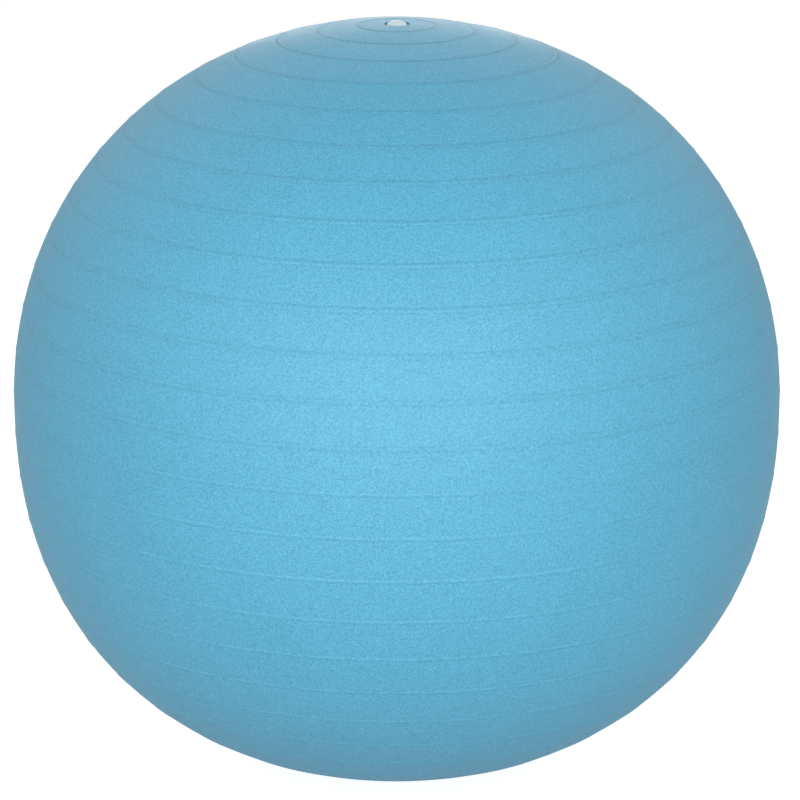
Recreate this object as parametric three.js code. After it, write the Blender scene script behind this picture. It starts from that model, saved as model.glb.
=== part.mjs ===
// Exercise ball: an inflated PVC ball with raised rings, its valve bush and its push-in stopper.
// Millimetres, +Z up. The origin is the centre of the patch that the ball rests on.

import * as THREE from 'three';

// Skin: half a superellipse above the equator and half below, turned round the vertical axis.
const BALL_DIAMETER = 650;
const HEIGHT_RATIO = 0.983;
const TOP_FULLNESS = 2.08;
const BOTTOM_FULLNESS = 2.25;
const CONTACT_FLATTENING = 0.8;
const SKIN_THICKNESS = 0.8;

// Raised rings along the skin from the top pole to the bottom one, evenly spaced except that the
// first few are drawn in towards the valve.
const RING_DIVISIONS = 29;
const RING_WIDTH = 4.4;
const RING_HEIGHT = 0.5;
const RING_DRAW = 6.5;
const LAST_DRAWN_RING = 6;

// Valve: a hole in a thickened boss at the top pole, the bush under it and the stopper in it.
const VALVE_HOLE_RADIUS = 10.75;
const BOSS_DEPTH = 2.9;
const BOSS_RADIUS = 23;
const BOSS_TAPER_RADIUS = 32;
const TOUCH_GAP = 0.3;
const SEAT_FLANGE_RADIUS = 19;
const SEAT_FLANGE_THICKNESS = 2.4;
const SEAT_NECK_RADIUS = 7.6;
const SEAT_NECK_LENGTH = 22;
const SEAT_BORE_RADIUS = 4.6;
const SEAT_CHAMFER = 1.0;
const PLUG_HEAD_RADIUS = 8.5;
const PLUG_CROWN_ABOVE_POLE = 2.4;
const PLUG_DOME_HEIGHT = 3.7;
const PLUG_EDGE_RADIUS = 0.5;
const PLUG_BARB_RADIUS = SEAT_BORE_RADIUS - TOUCH_GAP;
const PLUG_STEM_RADIUS = 3.7;
const PLUG_STEM_LENGTH = 21;
const PLUG_TIP_RADIUS = 2.9;
const PLUG_TIP_LENGTH = 2.5;
const PLUG_BARB_COUNT = 3;
// Shares of the spacing between barbs: the start of each, the ends of its slope and of its
// land, and the end of the step back to the stem.
const BARB_START = 0.2;
const BARB_SLOPE_END = 0.55;
const BARB_LAND_END = 0.7;
const BARB_STEP_END = 0.72;
const PLUG_CORE_RADIUS = 1.8;
const PLUG_CORE_DEPTH = 15;

// How finely the turned pieces are cut.
const SHELL_SEGMENTS = 36;
const VALVE_SEGMENTS = 32;
const MERIDIAN_STEPS = 4000;
const DOME_STEPS = 6;
const SEARCH_HALVINGS = 40;
const TANGENT_NUDGE = 0.0001;

const SKIN_COLOUR = 0x5aaed0;
const SKIN_ROUGHNESS = 0.5;
const SEAT_COLOUR = 0x4f9fc2;
const SEAT_ROUGHNESS = 0.55;
const PLUG_COLOUR = 0xf0f1ec;
const PLUG_ROUGHNESS = 0.4;

const EQUATOR_RADIUS = BALL_DIAMETER / 2;
const HALF_HEIGHT = EQUATOR_RADIUS * HEIGHT_RATIO;
const EQUATOR_Z = HALF_HEIGHT - CONTACT_FLATTENING;
const POLE_Z = EQUATOR_Z + HALF_HEIGHT;

// Distance from the ball's centre to its skin, at an angle from the top pole.
function skinRadius(angle) {
  const fullness = angle < Math.PI / 2 ? TOP_FULLNESS : BOTTOM_FULLNESS;
  const across = Math.sin(angle) ** fullness;
  const upright = Math.abs(Math.cos(angle) / HEIGHT_RATIO) ** fullness;
  return EQUATOR_RADIUS * (across + upright) ** (-1 / fullness);
}

function skinPoint(angle) {
  const radius = skinRadius(angle);
  return new THREE.Vector2(radius * Math.sin(angle), EQUATOR_Z + radius * Math.cos(angle));
}

// Length along the skin from the top pole to each step of the meridian.
function measureMeridian() {
  const arcs = [0];
  for (let step = 1; step <= MERIDIAN_STEPS; step += 1) {
    const here = skinPoint((step / MERIDIAN_STEPS) * Math.PI);
    const before = skinPoint(((step - 1) / MERIDIAN_STEPS) * Math.PI);
    arcs.push(arcs[step - 1] + here.distanceTo(before));
  }
  return arcs;
}

const meridianArcs = measureMeridian();
const MERIDIAN_LENGTH = meridianArcs[MERIDIAN_STEPS];
const RING_PITCH = MERIDIAN_LENGTH / RING_DIVISIONS;

// The angle at which the skin is a given length away from the top pole.
function angleAtArc(arc) {
  const after = meridianArcs.findIndex((length) => length >= arc);
  const before = Math.max(after - 1, 0);
  const span = Math.max(meridianArcs[after] - meridianArcs[before], Number.EPSILON);
  const step = before + (arc - meridianArcs[before]) / span;
  return (step / MERIDIAN_STEPS) * Math.PI;
}

// The angle at which the skin is a given distance away from the axis, near the top pole.
function angleAtRadius(radius) {
  let low = 0;
  let high = Math.PI / 4;
  for (let halving = 0; halving < SEARCH_HALVINGS; halving += 1) {
    const middle = (low + high) / 2;
    if (skinPoint(middle).x < radius) {
      low = middle;
    } else {
      high = middle;
    }
  }
  return low;
}

// A point that stands off the skin along its outward normal.
function offSkin(angle, distance) {
  const ahead = skinPoint(angle + TANGENT_NUDGE);
  const along = ahead.sub(skinPoint(angle - TANGENT_NUDGE)).normalize();
  return skinPoint(angle).add(new THREE.Vector2(-along.y, along.x).multiplyScalar(distance));
}

// The angle at which the lower half crosses the floor.
function contactAngle() {
  let low = Math.PI / 2;
  let high = Math.PI;
  for (let halving = 0; halving < SEARCH_HALVINGS; halving += 1) {
    const middle = (low + high) / 2;
    if (skinPoint(middle).y > 0) {
      low = middle;
    } else {
      high = middle;
    }
  }
  return high;
}

// Turns a profile of (distance from the axis, height) points round the vertical axis.
function turned(profile, segments) {
  const geometry = new THREE.LatheGeometry(profile, segments);
  geometry.rotateX(Math.PI / 2);
  return geometry;
}

function pieceMesh(name, geometry, colour, roughness) {
  const material = new THREE.MeshStandardMaterial({ color: colour, roughness, metalness: 0 });
  const mesh = new THREE.Mesh(geometry, material);
  mesh.name = name;
  return mesh;
}

// Length along the skin from the top pole to a ring.
function ringArc(ring) {
  const share = Math.min(1, ring / LAST_DRAWN_RING);
  return ring * RING_PITCH - RING_DRAW * Math.sin(Math.PI * share);
}

// The rings that stand clear of the patch on the floor, as lengths from the top pole.
function ringArcs() {
  const contact = offSkin(contactAngle(), 0).x;
  const arcs = [];
  for (let ring = 1; ring < RING_DIVISIONS; ring += 1) {
    const arc = ringArc(ring);
    const lowRing = skinPoint(angleAtArc(arc));
    const pressedFlat = lowRing.y < EQUATOR_Z && lowRing.x - RING_WIDTH < contact;
    if (!pressedFlat) {
      arcs.push(arc);
    }
  }
  return arcs;
}

// Outer face from the patch on the floor up to the valve hole, with a ridge at each ring.
function outerFace() {
  const points = [new THREE.Vector2(0, 0), new THREE.Vector2(skinPoint(contactAngle()).x, 0)];
  for (const arc of ringArcs().reverse()) {
    points.push(offSkin(angleAtArc(arc + RING_WIDTH / 2), 0));
    points.push(offSkin(angleAtArc(arc), RING_HEIGHT));
    points.push(offSkin(angleAtArc(arc - RING_WIDTH / 2), 0));
  }
  points.push(skinPoint(angleAtRadius(VALVE_HOLE_RADIUS)));
  return points;
}

// Inner face from the boss under the valve hole down to the floor, one point to each ring.
function innerFace() {
  const bossUnderside = POLE_Z - BOSS_DEPTH;
  const points = [
    new THREE.Vector2(VALVE_HOLE_RADIUS, bossUnderside),
    new THREE.Vector2(BOSS_RADIUS, bossUnderside),
    offSkin(angleAtRadius(BOSS_TAPER_RADIUS), -SKIN_THICKNESS),
  ];
  for (const arc of ringArcs().slice(1)) {
    points.push(offSkin(angleAtArc(arc), -SKIN_THICKNESS));
  }
  points.push(new THREE.Vector2(skinPoint(contactAngle()).x, SKIN_THICKNESS));
  points.push(new THREE.Vector2(0, SKIN_THICKNESS));
  return points;
}

function ballShell() {
  const profile = [...outerFace(), ...innerFace()];
  return pieceMesh('ball_shell', turned(profile, SHELL_SEGMENTS), SKIN_COLOUR, SKIN_ROUGHNESS);
}

// The bush: a flange under the boss and a neck into the ball, with the bore down its middle.
function valveSeat() {
  const top = POLE_Z - BOSS_DEPTH - TOUCH_GAP;
  const flangeUnderside = top - SEAT_FLANGE_THICKNESS;
  const bottom = flangeUnderside - SEAT_NECK_LENGTH;
  const outline = [
    [SEAT_BORE_RADIUS, bottom],
    [SEAT_NECK_RADIUS - SEAT_CHAMFER, bottom],
    [SEAT_NECK_RADIUS, bottom + SEAT_CHAMFER],
    [SEAT_NECK_RADIUS, flangeUnderside - SEAT_CHAMFER],
    [SEAT_NECK_RADIUS + SEAT_CHAMFER, flangeUnderside],
    [SEAT_FLANGE_RADIUS, flangeUnderside + SEAT_CHAMFER],
    [SEAT_FLANGE_RADIUS, top],
    [SEAT_BORE_RADIUS + SEAT_CHAMFER, top],
    [SEAT_BORE_RADIUS, top - SEAT_CHAMFER],
    [SEAT_BORE_RADIUS, bottom],
  ];
  const profile = outline.map(([radius, height]) => new THREE.Vector2(radius, height));
  return pieceMesh('valve_seat', turned(profile, VALVE_SEGMENTS), SEAT_COLOUR, SEAT_ROUGHNESS);
}

// Barbs on the stem, from the tip upwards: each climbs to its edge and steps back to the stem.
function barbOutline(tip, headUnderside) {
  const spacing = (headUnderside - tip) / (PLUG_BARB_COUNT + 1);
  const points = [];
  for (let barb = 0; barb < PLUG_BARB_COUNT; barb += 1) {
    const foot = tip + spacing * (barb + BARB_START);
    points.push([PLUG_STEM_RADIUS, foot]);
    points.push([PLUG_BARB_RADIUS, foot + spacing * BARB_SLOPE_END]);
    points.push([PLUG_BARB_RADIUS, foot + spacing * BARB_LAND_END]);
    points.push([PLUG_STEM_RADIUS, foot + spacing * BARB_STEP_END]);
  }
  return points;
}

// The stopper's low dome, from its edge in to the axis.
function domeOutline(crown) {
  const points = [];
  for (let step = 0; step <= DOME_STEPS; step += 1) {
    const turn = (step / DOME_STEPS) * (Math.PI / 2);
    const radius = PLUG_HEAD_RADIUS * Math.cos(turn);
    points.push([step === DOME_STEPS ? 0 : radius, crown - PLUG_DOME_HEIGHT * (1 - Math.sin(turn))]);
  }
  return points;
}

function valvePlug() {
  const crown = POLE_Z + PLUG_CROWN_ABOVE_POLE;
  const headUnderside = POLE_Z - BOSS_DEPTH;
  const tip = headUnderside - PLUG_STEM_LENGTH;
  const outline = [
    [0, tip + PLUG_CORE_DEPTH],
    [PLUG_CORE_RADIUS, tip + PLUG_CORE_DEPTH],
    [PLUG_CORE_RADIUS, tip],
    [PLUG_TIP_RADIUS, tip],
    ...barbOutline(tip + PLUG_TIP_LENGTH, headUnderside),
    [PLUG_STEM_RADIUS, headUnderside],
    [PLUG_HEAD_RADIUS - PLUG_EDGE_RADIUS, headUnderside],
    [PLUG_HEAD_RADIUS, headUnderside + PLUG_EDGE_RADIUS],
    ...domeOutline(crown),
  ];
  const profile = outline.map(([radius, height]) => new THREE.Vector2(radius, height));
  return pieceMesh('valve_plug', turned(profile, VALVE_SEGMENTS), PLUG_COLOUR, PLUG_ROUGHNESS);
}

const exerciseBall = new THREE.Group();
exerciseBall.add(ballShell(), valveSeat(), valvePlug());

export default exerciseBall;
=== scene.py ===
import math

import bmesh
import bpy
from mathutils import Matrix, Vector, noise


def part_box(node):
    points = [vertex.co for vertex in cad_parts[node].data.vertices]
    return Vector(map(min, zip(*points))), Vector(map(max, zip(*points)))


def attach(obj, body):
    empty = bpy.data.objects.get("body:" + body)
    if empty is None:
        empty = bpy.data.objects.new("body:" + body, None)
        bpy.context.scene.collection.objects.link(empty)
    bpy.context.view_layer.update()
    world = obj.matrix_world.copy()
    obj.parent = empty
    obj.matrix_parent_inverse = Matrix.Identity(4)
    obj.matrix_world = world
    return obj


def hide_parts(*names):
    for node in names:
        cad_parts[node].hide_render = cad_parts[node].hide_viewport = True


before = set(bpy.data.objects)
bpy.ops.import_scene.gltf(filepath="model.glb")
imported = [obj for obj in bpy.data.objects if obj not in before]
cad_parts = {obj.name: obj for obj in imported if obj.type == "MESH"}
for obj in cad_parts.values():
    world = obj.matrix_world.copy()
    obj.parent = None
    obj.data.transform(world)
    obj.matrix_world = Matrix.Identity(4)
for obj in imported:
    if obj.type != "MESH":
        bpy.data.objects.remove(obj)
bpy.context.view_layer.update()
print("frame loaded:", sorted(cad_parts))

shellLow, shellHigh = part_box("ball_shell")
seatLow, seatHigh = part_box("valve_seat")
plugLow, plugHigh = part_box("valve_plug")

# All lengths are in metres.
ballSkin = {
    "equatorRadius": 0.325,
    "heightRatio": 0.983,
    "topFullness": 2.08,       # superellipse exponents of the upper and the lower half
    "bottomFullness": 2.25,
    "contactFlattening": 0.0008,
    "thickness": 0.0008,
    "ringDivisions": 29,
    "ringDraw": 0.0065,        # the first rings are drawn in towards the valve by up to this much
    "lastDrawnRing": 6,
    "ringWidth": 0.0044,
    "ringHeight": 0.00032,
    "ringFootDepth": 0.00010,  # the skin dips a little at each foot of a ring
    "ringFootSpread": 0.3,     # width of that dip, in half ring widths
    "ringReach": 1.7,          # half ring widths that get close steps, so that the dips keep their shape
    "paintedRingShade": 0.15,         # painted shade: the skin is painted darker on its rings, by this much at the most
    "shadeBandWidth": 0.4,          # ring widths to either side that the painted shade over the whole ring covers
    "shadeBandFall": 6,             # the power of the height by which that painted shade leaves all but the first rings
    "footShadeShare": 0.46,         # how much of the painted shade the feet of every ring get
    "paintedShadeEnd": 0.5,           # share of the height below which a ring gets no painted shade
    "paintedShadeFade": 0.07,         # and the share of the height over which the painted shade comes in
    "stepsPerRing": 14,
    "stepsBetweenRings": 3,
    "turnSteps": 168,
    "holeRadius": 0.01075,
    "holeEdgeRadius": 0.0006,
    "bossDepth": 0.0029,
    "bossRadius": 0.023,
    "bossTaperRadius": 0.032,
    "unevenness": 0.00022,     # slow swells that inflation leaves in the skin
    "unevenSize": 0.085,
}

valveBush = {
    "boreRadius": 0.0046,
    "chamfer": 0.001,
    "neckRadius": 0.0076,
    "flangeThickness": 0.0024,
    "beadRadius": 0.0066,      # a low sealing bead round the mouth of the bore
    "beadWidth": 0.0009,
    "beadHeight": 0.00022,
    "turnSteps": 96,
}

stopper = {
    "headRadius": 0.0085,
    "domeHeight": 0.0037,
    "stemRadius": 0.0037,
    "barbRadius": 0.0043,
    "barbCount": 3,
    "tipRadius": 0.0029,
    "tipLength": 0.0025,
    "coreRadius": 0.0018,
    "coreDepth": 0.015,
    "turnSteps": 96,
}

studio = {
    "cameraDistance": 2.797,
    "cameraElevation": 16.2,   # degrees above the floor
    "lens": 147.3,
    "shiftX": 0.0039,
    "shiftY": -0.0071,
    "floorRadius": 9.0,
    "floorColour": (0.3, 0.3, 0.3, 1.0),
    "floorGlow": 0.345,        # what the floor throws back on the ball
    "floorGlowSeen": 0.91,     # and how white it shows
    "sky": [(0.0, 0.57), (0.2, 1.11), (0.45, 0.16), (0.75, 0.0)],  # height in the sky, strength
    "skySeen": 1.0,
    # name: (degrees either side of the camera, elevation, distance, width, height, watts)
    "boxes": {
        "low_box": (23.0, 2.0, 2.3, 0.7, 0.45, 4.4),
        "glare_box": (20.0, 22.0, 2.3, 0.5, 0.35, 7.7),
        "small_box": (11.0, 23.0, 2.3, 0.4, 0.3, 1.2),
        "wide_box": (45.0, 12.0, 2.3, 0.9, 0.7, 0.5),
        "high_box": (45.0, 40.0, 2.3, 0.9, 0.7, 5.2),
        "side_box": (80.0, 15.0, 2.3, 0.9, 0.9, 0.8),
        "top_box": (0.0, 80.0, 2.2, 1.6, 1.6, 5.2),
        "back_top_box": (180.0, 58.0, 2.4, 1.6, 0.9, 4.9),
        "back_box": (180.0, 30.0, 2.4, 1.2, 0.6, 2.2),
        "rear_box": (180.0, 8.0, 2.4, 0.8, 0.6, 4.0),
        "rear_side_box": (125.0, 50.0, 2.3, 0.9, 0.9, 4.4),
        "foot_box": (0.0, -4.0, 1.9, 1.6, 0.3, 3.0),
    },
}

halfHeight = ballSkin["equatorRadius"] * ballSkin["heightRatio"]
equatorZ = halfHeight - ballSkin["contactFlattening"]
poleZ = equatorZ + halfHeight


def skinPoint(angle):
    # distance from the axis and height of the skin, at an angle from the top pole
    upper = angle < math.pi / 2
    fullness = ballSkin["topFullness"] if upper else ballSkin["bottomFullness"]
    across = abs(math.sin(angle)) ** fullness
    upright = abs(math.cos(angle) / ballSkin["heightRatio"]) ** fullness
    radius = ballSkin["equatorRadius"] * (across + upright) ** (-1 / fullness)
    return Vector((radius * math.sin(angle), 0, equatorZ + radius * math.cos(angle)))


meridianSteps = 4000
meridianArcs = [0.0]
for step in range(1, meridianSteps + 1):
    here = skinPoint(step / meridianSteps * math.pi)
    before = skinPoint((step - 1) / meridianSteps * math.pi)
    meridianArcs.append(meridianArcs[-1] + (here - before).length)
ringPitch = meridianArcs[-1] / ballSkin["ringDivisions"]


def angleAtArc(arc):
    # bisection on the running length of the meridian
    low, high = 0, meridianSteps
    while high - low > 1:
        middle = (low + high) // 2
        if meridianArcs[middle] < arc:
            low = middle
        else:
            high = middle
    share = (arc - meridianArcs[low]) / (meridianArcs[high] - meridianArcs[low])
    return (low + share) / meridianSteps * math.pi


def arcAtRadius(radius):
    low, high = 0.0, meridianArcs[-1] / 4
    for halving in range(40):
        middle = (low + high) / 2
        if skinPoint(angleAtArc(middle)).x < radius:
            low = middle
        else:
            high = middle
    return low


def offSkin(arc, distance):
    angle = angleAtArc(arc)
    along = (skinPoint(angle + 1e-4) - skinPoint(angle - 1e-4)).normalized()
    return skinPoint(angle) + Vector((-along.z, 0, along.x)) * distance


def ringArc(ring):
    # length along the skin from the top pole to a ring
    share = min(1, ring / ballSkin["lastDrawnRing"])
    return ring * ringPitch - ballSkin["ringDraw"] * math.sin(math.pi * share)


def ringFoot(offset):
    # 1 at the foot of a ring, falling to 0 either side of it
    reach = abs(offset) / (ballSkin["ringWidth"] / 2)
    return math.exp(-((reach - 1.0) / ballSkin["ringFootSpread"]) ** 2)


def ringRise(offset):
    # height of a ring's section at an offset from its middle: a rounded crest with dipped feet
    reach = min(1, abs(offset) / (ballSkin["ringWidth"] / 2))
    crest = ballSkin["ringHeight"] * (0.5 + 0.5 * math.cos(math.pi * reach))
    return crest - ballSkin["ringFootDepth"] * ringFoot(offset)


def outerProfile():
    points = []
    holeArc = arcAtRadius(ballSkin["holeRadius"] + ballSkin["holeEdgeRadius"])
    half = ballSkin["ringWidth"] / 2 * ballSkin["ringReach"]
    arcs = []
    for ring in range(0, ballSkin["ringDivisions"]):
        middle = ringArc(ring)
        if ring > 0:
            for step in range(ballSkin["stepsPerRing"] + 1):
                offset = (step / ballSkin["stepsPerRing"] * 2 - 1) * half
                arcs.append((middle + offset, ringRise(offset)))
        start = middle + half if ring else holeArc
        gap = ringArc(ring + 1) - half - start
        for step in range(1, ballSkin["stepsBetweenRings"] + 1):
            arcs.append((start + gap * step / (ballSkin["stepsBetweenRings"] + 1), 0.0))
        if not ring:
            arcs.insert(0, (holeArc, 0.0))
    for arc, rise in arcs:
        point = offSkin(arc, rise)
        if point.z <= 0:
            break
        points.append(point)
    return points


def holeEdge():
    # the rounded lip of the valve hole, from its wall up to the skin
    edge = ballSkin["holeEdgeRadius"]
    lip = skinPoint(angleAtArc(arcAtRadius(ballSkin["holeRadius"] + edge)))
    points = []
    for step in range(6):
        turn = step / 6 * math.pi / 2
        points.append(Vector((lip.x - edge * math.cos(turn), 0, lip.z - edge * (1 - math.sin(turn)))))
    return points


def innerProfile():
    underside = poleZ - ballSkin["bossDepth"]
    points = [
        Vector((ballSkin["holeRadius"], 0, underside)),
        Vector((ballSkin["bossRadius"], 0, underside)),
    ]
    arc = arcAtRadius(ballSkin["bossTaperRadius"])
    while offSkin(arc, -ballSkin["thickness"]).z > ballSkin["thickness"]:
        points.append(offSkin(arc, -ballSkin["thickness"]))
        arc += ringPitch / 2
    points.append(Vector((0, 0, ballSkin["thickness"])))
    return points


def turnedPiece(name, profile, steps):
    # a profile of points turned once round the Z axis into a closed mesh
    shape = bmesh.new()
    chain = [shape.verts.new(point) for point in profile]
    edges = [shape.edges.new(pair) for pair in zip(chain, chain[1:])]
    bmesh.ops.spin(
        shape, geom=chain + edges, cent=(0, 0, 0), axis=(0, 0, 1),
        angle=2 * math.pi, steps=steps, use_merge=True,
    )
    bmesh.ops.remove_doubles(shape, verts=shape.verts, dist=1e-7)
    bmesh.ops.dissolve_degenerate(shape, edges=shape.edges, dist=1e-8)
    bmesh.ops.recalc_face_normals(shape, faces=shape.faces)
    mesh = bpy.data.meshes.new(name)
    shape.to_mesh(mesh)
    shape.free()
    piece = bpy.data.objects.new(name, mesh)
    bpy.context.scene.collection.objects.link(piece)
    for face in mesh.polygons:
        face.use_smooth = True
    return piece


def makeBallSkin():
    outer = outerProfile()
    contactRadius = outer[-1].x
    floorSteps = 6
    for step in range(floorSteps + 1):
        outer.append(Vector((contactRadius * (1 - step / floorSteps), 0, 0)))
    profile = list(reversed(innerProfile())) + holeEdge() + outer
    piece = turnedPiece("ball_skin", profile, ballSkin["turnSteps"])
    for vertex in piece.data.vertices:
        spot = vertex.co / ballSkin["unevenSize"]
        away = Vector((vertex.co.x, vertex.co.y, vertex.co.z - equatorZ)).normalized()
        fade = min(1, max(0, vertex.co.z - 0.01) / 0.05) * min(1, max(0, vertex.co.xy.length - 0.03) / 0.05)
        vertex.co += away * noise.noise(spot) * ballSkin["unevenness"] * fade
    paintRingShade(piece.data)
    return piece


def paintRingShade(mesh):
    # painted shade: how much darker each point of the skin is painted for the ring that it lies on, at the
    # feet of every ring and over the whole of the first rings near the top
    paintedShades = mesh.attributes.new("paintedRingShade", "FLOAT", "POINT")
    for vertex in mesh.vertices:
        angle = math.atan2(vertex.co.xy.length, vertex.co.z - equatorZ)
        arc = meridianArcs[min(meridianSteps, round(angle / math.pi * meridianSteps))]
        offset = min((arc - ringArc(ring) for ring in range(1, ballSkin["ringDivisions"])), key=abs)
        height = max(0, vertex.co.z / poleZ)
        across = offset / (ballSkin["shadeBandWidth"] * ballSkin["ringWidth"])
        paintedBand = math.exp(-across ** 4) * height ** ballSkin["shadeBandFall"]
        isRing = abs(offset) < ringPitch / 2 and vertex.co.z > 0.004
        foot = ringFoot(offset) * ballSkin["footShadeShare"]
        fade = min(1, max(0, (height - ballSkin["paintedShadeEnd"]) / ballSkin["paintedShadeFade"]))
        paintedShade = max(foot, paintedBand) * fade
        paintedShades.data[vertex.index].value = paintedShade if isRing else 0.0


def makeValveBush():
    top = seatHigh.z
    bottom = seatLow.z
    bore = valveBush["boreRadius"]
    chamfer = valveBush["chamfer"]
    neck = valveBush["neckRadius"]
    flange = seatHigh.x
    underside = top - valveBush["flangeThickness"]
    profile = [Vector((bore, 0, bottom)), Vector((bore, 0, top - chamfer))]
    for step in range(1, 7):
        turn = step / 6 * math.pi / 2
        profile.append(Vector((
            bore + chamfer * (1 - math.cos(turn)), 0,
            top - chamfer * (1 - math.sin(turn)))))
    bead = valveBush["beadRadius"]
    for step in range(9):
        turn = step / 8 * math.pi
        profile.append(Vector((
            bead - valveBush["beadWidth"] * math.cos(turn), 0,
            top + valveBush["beadHeight"] * math.sin(turn))))
    profile += [
        Vector((flange - 0.0004, 0, top)),
        Vector((flange, 0, top - 0.0004)),
        Vector((flange, 0, underside + 0.0008)),
        Vector((flange - 0.0006, 0, underside + 0.0002)),
        Vector((neck + 0.0024, 0, underside)),
        Vector((neck + 0.0007, 0, underside - 0.0007)),
        Vector((neck, 0, underside - 0.0024)),
        Vector((neck, 0, bottom + 0.001)),
        Vector((neck - 0.0003, 0, bottom + 0.0003)),
        Vector((neck - 0.001, 0, bottom)),
        Vector((bore, 0, bottom)),
    ]
    return turnedPiece("valve_bush", profile, valveBush["turnSteps"])


def makeStopper():
    tip = plugLow.z
    crown = plugHigh.z
    underside = poleZ - ballSkin["bossDepth"]
    head = stopper["headRadius"]
    stem = stopper["stemRadius"]
    profile = [
        Vector((0, 0, tip + stopper["coreDepth"])),
        Vector((stopper["coreRadius"] - 0.0004, 0, tip + stopper["coreDepth"])),
        Vector((stopper["coreRadius"], 0, tip + stopper["coreDepth"] - 0.0004)),
        Vector((stopper["coreRadius"], 0, tip + 0.0003)),
        Vector((stopper["coreRadius"] + 0.0002, 0, tip)),
        Vector((stopper["tipRadius"] - 0.0003, 0, tip)),
        Vector((stopper["tipRadius"], 0, tip + 0.0003)),
    ]
    spacing = (underside - tip - stopper["tipLength"]) / (stopper["barbCount"] + 1)
    for barb in range(stopper["barbCount"]):
        foot = tip + stopper["tipLength"] + spacing * (barb + 0.2)
        profile.append(Vector((stem, 0, foot)))
        profile.append(Vector((stopper["barbRadius"] - 0.0001, 0, foot + spacing * 0.52)))
        profile.append(Vector((stopper["barbRadius"], 0, foot + spacing * 0.6)))
        profile.append(Vector((stopper["barbRadius"] - 0.0001, 0, foot + spacing * 0.69)))
        profile.append(Vector((stem, 0, foot + spacing * 0.73)))
    profile += [
        Vector((stem, 0, underside - 0.0008)),
        Vector((stem + 0.0002, 0, underside - 0.0002)),
        Vector((stem + 0.0008, 0, underside)),
        Vector((head - 0.0005, 0, underside)),
        Vector((head - 0.00015, 0, underside + 0.00015)),
        Vector((head, 0, underside + 0.0005)),
    ]
    domeSteps = 20
    for step in range(domeSteps + 1):
        turn = step / domeSteps * math.pi / 2
        radius = 0 if step == domeSteps else head * math.cos(turn)
        profile.append(Vector((radius, 0, crown - stopper["domeHeight"] * (1 - math.sin(turn)))))
    return turnedPiece("stopper", profile, stopper["turnSteps"])


skinPiece = makeBallSkin()
bushPiece = makeValveBush()
stopperPiece = makeStopper()
print("pieces modelled:", [len(piece.data.polygons) for piece in (skinPiece, bushPiece, stopperPiece)])


def newMaterial(name):
    material = bpy.data.materials.new(name)
    material.use_nodes = True
    return material, material.node_tree, material.node_tree.nodes["Principled BSDF"]


def noiseTexture(tree, coordinates, scale, detail, roughness):
    texture = tree.nodes.new("ShaderNodeTexNoise")
    texture.inputs["Scale"].default_value = scale
    texture.inputs["Detail"].default_value = detail
    texture.inputs["Roughness"].default_value = roughness
    tree.links.new(coordinates, texture.inputs["Vector"])
    return texture


def rampBetween(tree, factor, stops):
    ramp = tree.nodes.new("ShaderNodeValToRGB")
    while len(ramp.color_ramp.elements) < len(stops):
        ramp.color_ramp.elements.new(0.5)
    for element, (position, colour) in zip(ramp.color_ramp.elements, stops):
        element.position = position
        element.color = colour
    tree.links.new(factor, ramp.inputs["Fac"])
    return ramp


skinFinish = {
    "colour": (0.0895, 0.380, 0.560),
    "darkShare": 0.80,
    "lightShare": 1.20,
    "roughness": 0.42,
    "grainScale": 680.0,
    "grainHeight": 0.0006,
    "cloudScale": 22.0,
    "specular": 0.48,
}


def shaded(colour, share):
    return tuple(min(1, channel * share) for channel in colour) + (1.0,)


def softPvc():
    material, tree, shader = newMaterial("grained_soft_pvc")
    place = tree.nodes.new("ShaderNodeTexCoord").outputs["Object"]
    grain = noiseTexture(tree, place, skinFinish["grainScale"], 3.0, 0.6)
    cloud = noiseTexture(tree, place, skinFinish["cloudScale"], 4.0, 0.55)
    grainTone = rampBetween(tree, grain.outputs["Fac"], [
        (0.34, shaded(skinFinish["colour"], skinFinish["darkShare"])),
        (0.50, shaded(skinFinish["colour"], 1.0)),
        (0.66, shaded(skinFinish["colour"], skinFinish["lightShare"])),
    ])
    cloudTone = rampBetween(tree, cloud.outputs["Fac"], [
        (0.25, (0.965, 0.97, 0.975, 1.0)),
        (0.75, (1.0, 1.0, 1.0, 1.0)),
    ])
    tint = tree.nodes.new("ShaderNodeMix")
    tint.data_type = "RGBA"
    tint.blend_type = "MULTIPLY"
    tint.inputs["Factor"].default_value = 1.0
    tree.links.new(grainTone.outputs["Color"], tint.inputs["A"])
    tree.links.new(cloudTone.outputs["Color"], tint.inputs["B"])
    # painted shade on the rings: the skin's colour is darkened by the shade stored on each point, at the
    # feet of the rings and over the rings near the top
    ring = tree.nodes.new("ShaderNodeAttribute")
    ring.attribute_name = "paintedRingShade"
    paintedShade = rampBetween(tree, ring.outputs["Fac"], [
        (0.0, (1.0, 1.0, 1.0, 1.0)),
        (1.0, shaded((1.0, 1.0, 1.0), 1 - ballSkin["paintedRingShade"])),
    ])
    skinTone = tree.nodes.new("ShaderNodeMix")
    skinTone.data_type = "RGBA"
    skinTone.blend_type = "MULTIPLY"
    skinTone.inputs["Factor"].default_value = 1.0
    tree.links.new(tint.outputs["Result"], skinTone.inputs["A"])
    tree.links.new(paintedShade.outputs["Color"], skinTone.inputs["B"])
    tree.links.new(skinTone.outputs["Result"], shader.inputs["Base Color"])
    gloss = tree.nodes.new("ShaderNodeMapRange")
    gloss.inputs["To Min"].default_value = skinFinish["roughness"] - 0.05
    gloss.inputs["To Max"].default_value = skinFinish["roughness"] + 0.06
    tree.links.new(cloud.outputs["Fac"], gloss.inputs["Value"])
    tree.links.new(gloss.outputs["Result"], shader.inputs["Roughness"])
    bump = tree.nodes.new("ShaderNodeBump")
    bump.inputs["Strength"].default_value = 1.0
    bump.inputs["Distance"].default_value = skinFinish["grainHeight"]
    tree.links.new(grain.outputs["Fac"], bump.inputs["Height"])
    tree.links.new(bump.outputs["Normal"], shader.inputs["Normal"])
    shader.inputs["Specular IOR Level"].default_value = skinFinish["specular"]
    return material


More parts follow.
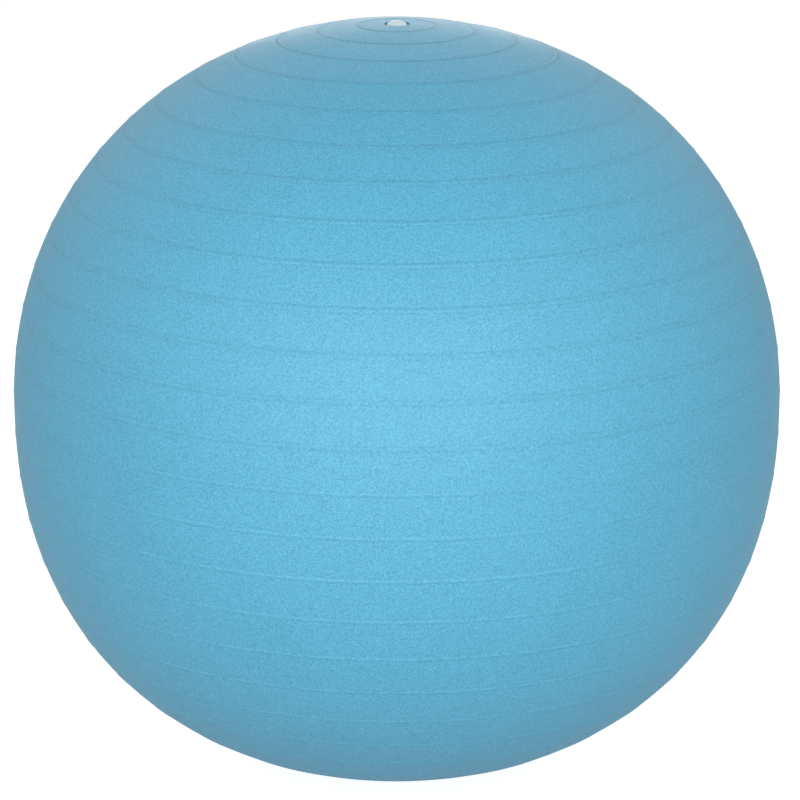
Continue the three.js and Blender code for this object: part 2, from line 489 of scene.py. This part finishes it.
def bushPvc():
    material, tree, shader = newMaterial("valve_bush_pvc")
    place = tree.nodes.new("ShaderNodeTexCoord").outputs["Object"]
    grain = noiseTexture(tree, place, 900.0, 2.0, 0.5)
    tone = rampBetween(tree, grain.outputs["Fac"], [
        (0.3, (0.085, 0.315, 0.47, 1.0)),
        (0.7, (0.10, 0.36, 0.53, 1.0)),
    ])
    tree.links.new(tone.outputs["Color"], shader.inputs["Base Color"])
    shader.inputs["Roughness"].default_value = 0.45
    bump = tree.nodes.new("ShaderNodeBump")
    bump.inputs["Distance"].default_value = 0.00004
    tree.links.new(grain.outputs["Fac"], bump.inputs["Height"])
    tree.links.new(bump.outputs["Normal"], shader.inputs["Normal"])
    return material


def whitePolyethylene():
    material, tree, shader = newMaterial("white_polyethylene")
    place = tree.nodes.new("ShaderNodeTexCoord").outputs["Object"]
    grain = noiseTexture(tree, place, 700.0, 3.0, 0.55)
    tone = rampBetween(tree, grain.outputs["Fac"], [
        (0.3, (0.56, 0.68, 0.71, 1.0)),
        (0.7, (0.64, 0.76, 0.79, 1.0)),
    ])
    tree.links.new(tone.outputs["Color"], shader.inputs["Base Color"])
    shader.inputs["Roughness"].default_value = 0.42
    shader.inputs["Subsurface Weight"].default_value = 0.25
    shader.inputs["Subsurface Radius"].default_value = (0.0012, 0.0012, 0.0014)
    bump = tree.nodes.new("ShaderNodeBump")
    bump.inputs["Distance"].default_value = 0.00003
    tree.links.new(grain.outputs["Fac"], bump.inputs["Height"])
    tree.links.new(bump.outputs["Normal"], shader.inputs["Normal"])
    return material


skinPiece.data.materials.append(softPvc())
bushPiece.data.materials.append(bushPvc())
stopperPiece.data.materials.append(whitePolyethylene())
print("materials made")

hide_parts("ball_shell")
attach(skinPiece, "ball")
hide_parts("valve_seat")
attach(bushPiece, "ball")
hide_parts("valve_plug")
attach(stopperPiece, "plug")
print("pieces ride on their bodies")


def makeFloor():
    shape = bmesh.new()
    bmesh.ops.create_circle(shape, cap_ends=True, segments=96, radius=studio["floorRadius"])
    mesh = bpy.data.meshes.new("studio_floor")
    shape.to_mesh(mesh)
    shape.free()
    floor = bpy.data.objects.new("studio_floor", mesh)
    bpy.context.scene.collection.objects.link(floor)
    material, tree, shader = newMaterial("pale_floor")
    shader.inputs["Base Color"].default_value = studio["floorColour"]
    shader.inputs["Roughness"].default_value = 0.8
    shader.inputs["Specular IOR Level"].default_value = 0.0
    shader.inputs["Emission Color"].default_value = (1, 1, 1, 1)
    glow = tree.nodes.new("ShaderNodeMapRange")
    glow.inputs["To Min"].default_value = studio["floorGlow"]
    glow.inputs["To Max"].default_value = studio["floorGlowSeen"]
    seen = tree.nodes.new("ShaderNodeLightPath")
    tree.links.new(seen.outputs["Is Camera Ray"], glow.inputs["Value"])
    tree.links.new(glow.outputs["Result"], shader.inputs["Emission Strength"])
    mesh.materials.append(material)
    return floor


def aimAt(thing, target):
    thing.rotation_euler = (target - thing.location).to_track_quat("-Z", "Y").to_euler()


def softBox(name, turn, elevation, distance, width, height, power):
    light = bpy.data.lights.new(name, "AREA")
    light.shape = "RECTANGLE"
    light.size = width
    light.size_y = height
    light.energy = power
    lamp = bpy.data.objects.new(name, light)
    bpy.context.scene.collection.objects.link(lamp)
    lamp.visible_camera = False
    flat = distance * math.cos(math.radians(elevation))
    middle = Vector((0, 0, equatorZ))
    lamp.location = middle + Vector((
        flat * math.sin(math.radians(turn)), -flat * math.cos(math.radians(turn)),
        distance * math.sin(math.radians(elevation))))
    aimAt(lamp, middle)
    return lamp


def makeSky():
    # bands of soft light by height in the sky, and plain white where the camera looks straight at it
    world = bpy.data.worlds.new("studio")
    bpy.context.scene.world = world
    world.use_nodes = True
    tree = world.node_tree
    place = tree.nodes.new("ShaderNodeTexCoord").outputs["Generated"]
    split = tree.nodes.new("ShaderNodeSeparateXYZ")
    tree.links.new(place, split.inputs["Vector"])
    bands = rampBetween(tree, split.outputs["Z"], [
        (height, (strength, strength, strength, 1.0)) for height, strength in studio["sky"]])
    bands.color_ramp.interpolation = "CONSTANT"
    lit = tree.nodes["Background"]
    tree.links.new(bands.outputs["Color"], lit.inputs["Color"])
    plain = tree.nodes.new("ShaderNodeBackground")
    plain.inputs["Strength"].default_value = studio["skySeen"]
    plain.inputs["Color"].default_value = (1, 1, 1, 1)
    choice = tree.nodes.new("ShaderNodeMixShader")
    seen = tree.nodes.new("ShaderNodeLightPath")
    tree.links.new(seen.outputs["Is Camera Ray"], choice.inputs["Fac"])
    tree.links.new(lit.outputs["Background"], choice.inputs[1])
    tree.links.new(plain.outputs["Background"], choice.inputs[2])
    tree.links.new(choice.outputs["Shader"], tree.nodes["World Output"].inputs["Surface"])


def makeStudio():
    makeFloor()
    makeSky()
    for name, (turn, elevation, distance, width, height, power) in studio["boxes"].items():
        for side in (-1, 1) if turn % 180 else (1,):
            softBox(name, side * turn, elevation, distance, width, height, power)
    bpy.context.scene.view_settings.view_transform = "Standard"


def makeCamera():
    data = bpy.data.cameras.new("camera")
    data.lens = studio["lens"]
    data.sensor_width = 36
    data.shift_x = studio["shiftX"]
    data.shift_y = studio["shiftY"]
    camera = bpy.data.objects.new("camera", data)
    bpy.context.scene.collection.objects.link(camera)
    elevation = math.radians(studio["cameraElevation"])
    reach = studio["cameraDistance"]
    camera.location = (0, -reach * math.cos(elevation), equatorZ + reach * math.sin(elevation))
    camera.rotation_euler = (math.pi / 2 - elevation, 0, 0)
    bpy.context.scene.camera = camera


makeStudio()
makeCamera()
print("studio and camera set")
